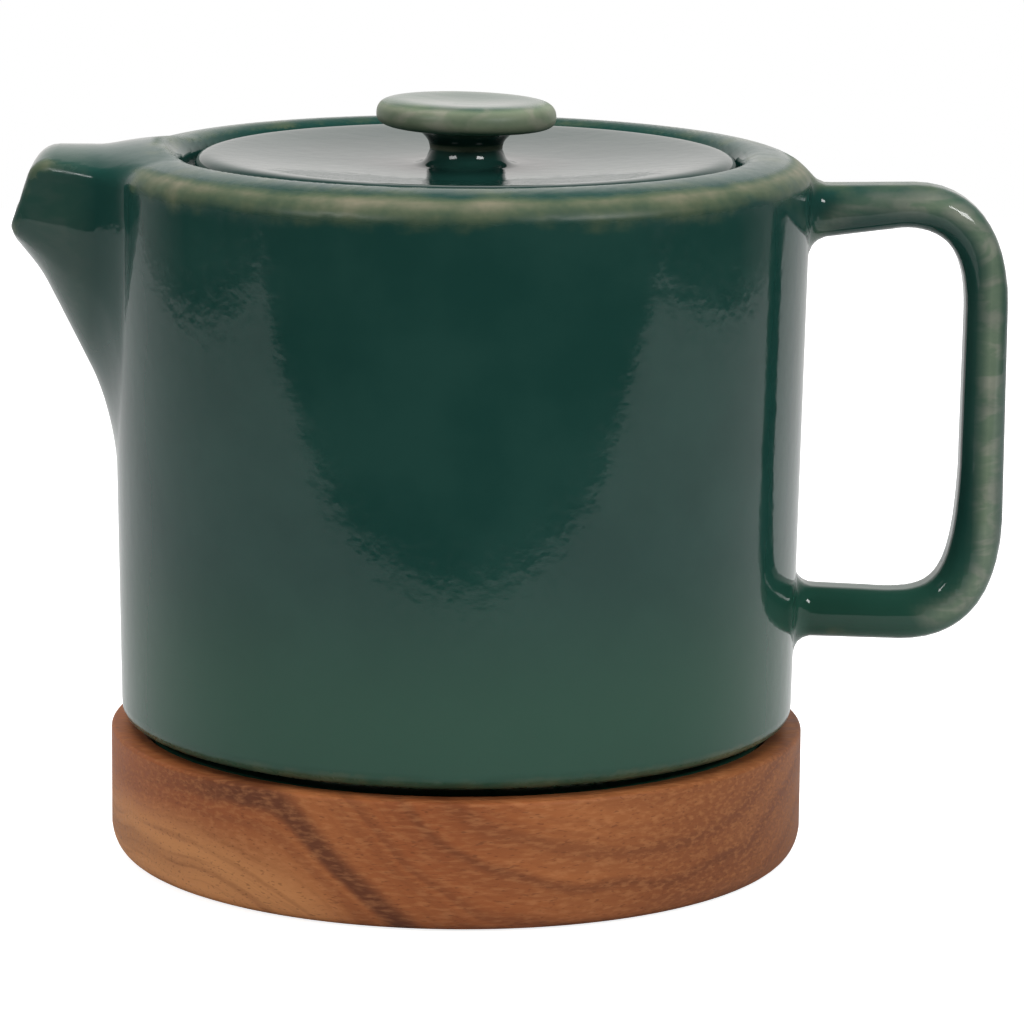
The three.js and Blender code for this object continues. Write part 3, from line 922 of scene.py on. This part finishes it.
def make_basket_floor():
    """A perforated disc with a plain hub in its middle."""
    radius = FLOOR_HIGH[0]
    z = (FLOOR_LOW[2] + FLOOR_HIGH[2]) / 2

    def place(u, v):
        a = u * 2 * math.pi
        r = HUB_R + v * (radius - HUB_R)
        return (r * math.cos(a), -r * math.sin(a), z)

    points, faces = perforated(*FLOOR_HOLES, place)
    hub = [i for i, p in enumerate(points) if math.hypot(p[0], p[1]) < HUB_R + 0.01]
    faces.append(sorted(hub, key=lambda i: math.atan2(points[i][1], points[i][0])))
    perforated_piece("basket_floor", points, faces, "infuser_floor")


make_collar()
make_sleeve()
make_basket_floor()


# ---- studio ------------------------------------------------------------------------------


TABLE_HALF_WIDTH, TABLE_FRONT, TABLE_BACK = 0.66, -0.315, 0.9


def floor_paint():
    """Matt off-white, with a glow that only the camera sees."""
    n = Nodes("floor_white")
    glow = n.ramp(n.add("LightPath").outputs["Is Camera Ray"], 0.0, 1.0, 0.0, 0.85)
    n.shade(Base_Color=(0.69, 0.69, 0.69, 1), Roughness=0.9, Specular_IOR_Level=0.0)
    n.shade(Emission_Color=(1, 1, 1, 1), Emission_Strength=glow)
    return n.material


def make_floor():
    """A pale table whose straight front edge shows in the glaze as the start of the dark room."""
    left, right = -TABLE_HALF_WIDTH, TABLE_HALF_WIDTH
    corners = [(left, TABLE_FRONT), (right, TABLE_FRONT), (right, TABLE_BACK), (left, TABLE_BACK)]
    mesh = bpy.data.meshes.new("floor")
    mesh.from_pydata([(x, y, 0) for x, y in corners], [], [(0, 1, 2, 3)])
    mesh.materials.append(floor_paint())
    floor = bpy.data.objects.new("floor", mesh)
    bpy.context.scene.collection.objects.link(floor)


def area_light(name, place, size, power, aim=(0, 0, 0.08), mirrored=True):
    """A soft rectangular lamp; one that isn't mirrored lights the glaze without showing in it."""
    data = bpy.data.lights.new(name, "AREA")
    data.shape = "RECTANGLE"
    data.size, data.size_y = size
    data.energy = power
    lamp = bpy.data.objects.new(name, data)
    lamp.location = place
    lamp.rotation_euler = (Vector(place) - Vector(aim)).to_track_quat("Z", "Y").to_euler()
    lamp.visible_glossy = mirrored
    bpy.context.scene.collection.objects.link(lamp)


def make_world():
    """White behind the pot and for the camera, dark where the glaze mirrors the room in front."""
    world = bpy.data.worlds.new("studio")
    world.use_nodes = True
    tree = world.node_tree
    tree.nodes.clear()
    link = tree.links.new

    def level(value, low, high, out_low, out_high):
        node = tree.nodes.new("ShaderNodeMapRange")
        limits = {"From Min": low, "From Max": high, "To Min": out_low, "To Max": out_high}
        for name, limit in limits.items():
            node.inputs[name].default_value = limit
        link(value, node.inputs["Value"])
        return node.outputs["Result"]

    split = tree.nodes.new("ShaderNodeSeparateXYZ")
    link(tree.nodes.new("ShaderNodeTexCoord").outputs["Generated"], split.inputs[0])
    behind = level(split.outputs["Y"], 0.2, 0.96, 0.03, 0.86)
    below_ceiling = level(split.outputs["Z"], 0.42, 0.76, 1.0, 0.2)
    room = tree.nodes.new("ShaderNodeMath")
    room.operation = "MULTIPLY"
    link(behind, room.inputs[0])
    link(below_ceiling, room.inputs[1])
    camera_ray = tree.nodes.new("ShaderNodeLightPath").outputs["Is Camera Ray"]
    strength = tree.nodes.new("ShaderNodeMix")
    strength.inputs[3].default_value = 1.0
    link(camera_ray, strength.inputs[0])
    link(room.outputs[0], strength.inputs[2])
    tint = tree.nodes.new("ShaderNodeMix")
    tint.data_type = "RGBA"
    tint.inputs[6].default_value = (1.0, 0.975, 0.955, 1)
    tint.inputs[7].default_value = (1, 1, 1, 1)
    link(camera_ray, tint.inputs[0])
    background = tree.nodes.new("ShaderNodeBackground")
    link(tint.outputs[2], background.inputs["Color"])
    link(strength.outputs[0], background.inputs["Strength"])
    output = tree.nodes.new("ShaderNodeOutputWorld")
    link(background.outputs[0], output.inputs["Surface"])
    bpy.context.scene.world = world


make_floor()
make_world()
area_light("overhead", (0.0, 0.15, 1.3), (1.8, 1.6), 25.0, mirrored=False)
area_light("box_left", (-0.68, -0.74, 0.66), (0.42, 0.20), 3.0)
area_light("box_right", (0.72, -0.70, 0.66), (0.42, 0.20), 4.6)
bpy.context.scene.view_settings.view_transform = "Standard"
